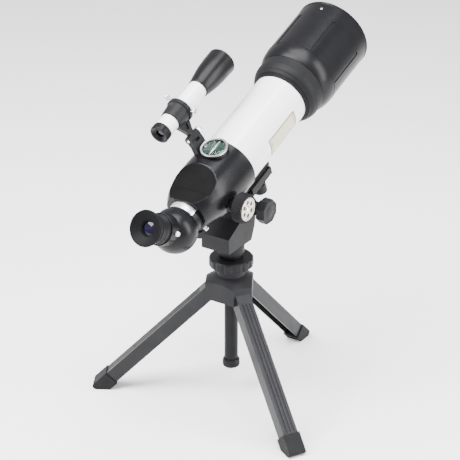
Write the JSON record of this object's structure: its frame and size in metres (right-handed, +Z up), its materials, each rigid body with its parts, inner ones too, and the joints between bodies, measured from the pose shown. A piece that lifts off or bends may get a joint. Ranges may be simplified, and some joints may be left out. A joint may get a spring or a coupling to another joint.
{
  "type": "telescope on tripod",
  "caption": "White-tubed refracting travel telescope with a black dew shield, finder, compass and angled eyepiece, on a folding tabletop tripod with a tilt and pan head.",
  "frame": {"origin": "on the table, under the middle of the object's box; the pan axis stands 33.0 mm behind it", "axes": "+Z up, +Y the way the telescope points, +X to the right seen from the eyepiece"},
  "size_m": [0.303, 0.4194, 0.435],
  "materials": {
    "hub_casting": "cast, painted satin dark grey",
    "leg_aluminium": "anodised dark grey",
    "foot_rubber": "matt",
    "column_paint": "painted satin black",
    "knob_plastic": "matt black",
    "head_plastic": "fine matt texture",
    "steel": "bright",
    "bright_screw": "polished",
    "tube_white": "painted gloss white",
    "shield_plastic": "satin black",
    "cell_plastic": "fine matt texture",
    "lens_glass": "coated",
    "baffle_black": "flat black",
    "housing_plastic": "satin black",
    "draw_metal": "painted satin black",
    "gear_brass": "machined",
    "grip_rubber": "ribbed",
    "wheel_face": "champagne silver",
    "elbow_plastic": "satin black",
    "eyepiece_metal": "black anodised",
    "cup_rubber": "soft matt",
    "dial_green": "printed green",
    "needle_paint": "white",
    "bezel_silver": "satin silver",
    "crystal": "clear"
  },
  "bodies": {
    "tripod": {"tripod_hub": "hub_casting", "leg_pins": "steel", "column_bush": "knob_plastic"},
    "column": {"column": "column_paint", "column_cap": "knob_plastic", "column_head": "column_paint"},
    "lock_ring": {"lock_ring": "knob_plastic"},
    "pan_head": {"head_bracket": "head_plastic", "altitude_bolt": "steel"},
    "altitude_knob": {"altitude_knob": "knob_plastic"},
    "telescope": {"tilt_plate": "head_plastic", "tube_rail": "head_plastic", "main_tube": "tube_white", "tube_baffle": "baffle_black", "objective_cell": "cell_plastic", "objective_crown": "lens_glass", "objective_flint": "lens_glass", "objective_retainer": "baffle_black", "focuser_housing": "housing_plastic", "compass_cup": "housing_plastic", "compass_dial": "dial_green", "compass_bezel": "bezel_silver", "compass_crystal": "crystal", "finder_foot": "knob_plastic"},
    "plate_screw": {"plate_screw": "knob_plastic"},
    "dew_shield": {"dew_shield": "shield_plastic"},
    "focus_wheel": {"focus_pinion": "gear_brass", "focus_wheel_rim": "grip_rubber", "focus_wheel_face": "wheel_face"},
    "drawtube": {"drawtube": "draw_metal", "focus_rack": "gear_brass"},
    "tension_screw": {"tension_screw": "bright_screw"},
    "focus_lock_knob": {"focus_lock_knob": "knob_plastic"},
    "elbow": {"elbow_body": "elbow_plastic", "elbow_prism": "lens_glass"},
    "port_setscrew": {"port_setscrew": "bright_screw"},
    "eyepiece": {"eyepiece_body": "eyepiece_metal", "eyepiece_field_lens": "lens_glass", "eyepiece_eye_lens": "lens_glass", "eyecup": "cup_rubber"},
    "compass_needle": {"compass_needle": "needle_paint"},
    "finder": {"finder_bracket": "knob_plastic", "finder_tube": "tube_white", "finder_hood": "shield_plastic", "finder_objective": "lens_glass", "finder_eyecell": "shield_plastic", "finder_eye_lens": "lens_glass"},
    "finder_hinge_screw": {"finder_hinge_screw": "bright_screw"},
    "finder_screw_a": {"finder_screw_a": "bright_screw"},
    "finder_screw_b": {"finder_screw_b": "bright_screw"},
    "finder_screw_c": {"finder_screw_c": "bright_screw"},
    "leg_right": {"leg_right": "leg_aluminium", "foot_right": "foot_rubber"},
    "leg_front": {"leg_front": "leg_aluminium", "foot_front": "foot_rubber"},
    "leg_left": {"leg_left": "leg_aluminium", "foot_left": "foot_rubber"}
  },
  "joints": [
    {"name": "leg_right_fold", "type": "hinge", "parent": "tripod", "child": "leg_right", "pos_m": [0.01905, -0.04399, 0.1395], "axis": [0.5, 0.866, 0], "range_deg": [0, 45]},
    {"name": "leg_front_fold", "type": "hinge", "parent": "tripod", "child": "leg_front", "pos_m": [0, -0.01099, 0.1395], "axis": [-1, 0, 0], "range_deg": [0, 45]},
    {"name": "leg_left_fold", "type": "hinge", "parent": "tripod", "child": "leg_left", "pos_m": [-0.01905, -0.04399, 0.1395], "axis": [0.5, -0.866, 0], "range_deg": [0, 45]},
    {"name": "lock_ring_turn", "type": "hinge", "parent": "tripod", "child": "lock_ring", "pos_m": [0, -0.03299, 0.175], "axis": [0, 0, 1], "range_deg": [0, 90]},
    {"name": "column_lift", "type": "slide", "parent": "tripod", "child": "column", "axis": [0, 0, 1], "range_m": [0, 0.08]},
    {"name": "pan", "type": "hinge", "parent": "column", "child": "pan_head", "pos_m": [0, -0.03299, 0.19], "axis": [0, 0, 1], "continuous": true},
    {"name": "altitude_knob_turn", "type": "hinge", "parent": "pan_head", "child": "altitude_knob", "pos_m": [0, -0.01958, 0.24426], "axis": [1, 0, 0], "range_deg": [0, 180]},
    {"name": "altitude", "type": "hinge", "parent": "pan_head", "child": "telescope", "pos_m": [0, -0.01958, 0.24426], "axis": [1, 0, 0], "range_deg": [-20, 28]},
    {"name": "plate_screw_turn", "type": "hinge", "parent": "telescope", "child": "plate_screw", "pos_m": [0, 0.02309, 0.26089], "axis": [0, -0.3592, 0.9333], "range_deg": [0, 180]},
    {"name": "shield_pull", "type": "slide", "parent": "telescope", "child": "dew_shield", "axis": [0, 0.9333, 0.3592], "range_m": [0, 0.02]},
    {"name": "drawtube_slide", "type": "slide", "parent": "telescope", "child": "drawtube", "axis": [0, -0.9333, -0.3592], "range_m": [0, 0.019]},
    {"name": "focus_turn", "type": "hinge", "parent": "telescope", "child": "focus_wheel", "pos_m": [0, -0.08304, 0.27496], "axis": [1, 0, 0], "range_deg": [0, 240]},
    {"name": "tension_screw_turn", "type": "hinge", "parent": "telescope", "child": "tension_screw", "pos_m": [0, -0.11838, 0.27074], "axis": [0.7071, 0.254, -0.6599], "range_deg": [0, 180]},
    {"name": "focus_lock_turn", "type": "hinge", "parent": "telescope", "child": "focus_lock_knob", "pos_m": [0, -0.11185, 0.27325], "axis": [0, 0.3592, -0.9333], "range_deg": [0, 180]},
    {"name": "elbow_roll", "type": "hinge", "parent": "drawtube", "child": "elbow", "pos_m": [0, -0.14638, 0.25996], "axis": [0, -0.9333, -0.3592], "range_deg": [-90, 90]},
    {"name": "port_setscrew_turn", "type": "hinge", "parent": "elbow", "child": "port_setscrew", "pos_m": [0, -0.1706, 0.27072], "axis": [1, 0, 0], "range_deg": [0, 180]},
    {"name": "eyepiece_slide", "type": "slide", "parent": "elbow", "child": "eyepiece", "axis": [0, -0.9139, 0.4059], "range_m": [0, 0.018]},
    {"name": "compass_swing", "type": "hinge", "parent": "telescope", "child": "compass_needle", "pos_m": [0.0014, -0.06983, 0.3311], "axis": [0, -0.3592, 0.9333], "continuous": true},
    {"name": "finder_fold", "type": "hinge", "parent": "telescope", "child": "finder", "pos_m": [-0.02642, -0.05011, 0.34809], "axis": [0, -0.9333, -0.3592], "range_deg": [0, 70]},
    {"name": "finder_hinge_screw_turn", "type": "hinge", "parent": "telescope", "child": "finder_hinge_screw", "pos_m": [-0.02642, -0.05011, 0.34809], "axis": [0, 0.9333, 0.3592], "range_deg": [0, 180]},
    {"name": "finder_screw_a_turn", "type": "hinge", "parent": "finder", "child": "finder_screw_a", "pos_m": [-0.04203, -0.07376, 0.36916], "axis": [0.9781, -0.0747, 0.194], "range_deg": [0, 180]},
    {"name": "finder_screw_b_turn", "type": "hinge", "parent": "finder", "child": "finder_screw_b", "pos_m": [-0.04203, -0.07376, 0.36916], "axis": [-0.6691, -0.2669, 0.6936], "range_deg": [0, 180]},
    {"name": "finder_screw_c_turn", "type": "hinge", "parent": "finder", "child": "finder_screw_c", "pos_m": [-0.04203, -0.07376, 0.36916], "axis": [-0.309, 0.3416, -0.8876], "range_deg": [0, 180]}
  ],
  "couplings": [
    {"joint": "focus_turn", "follows": "drawtube_slide", "rad_per_m": 217.39}
  ]
}
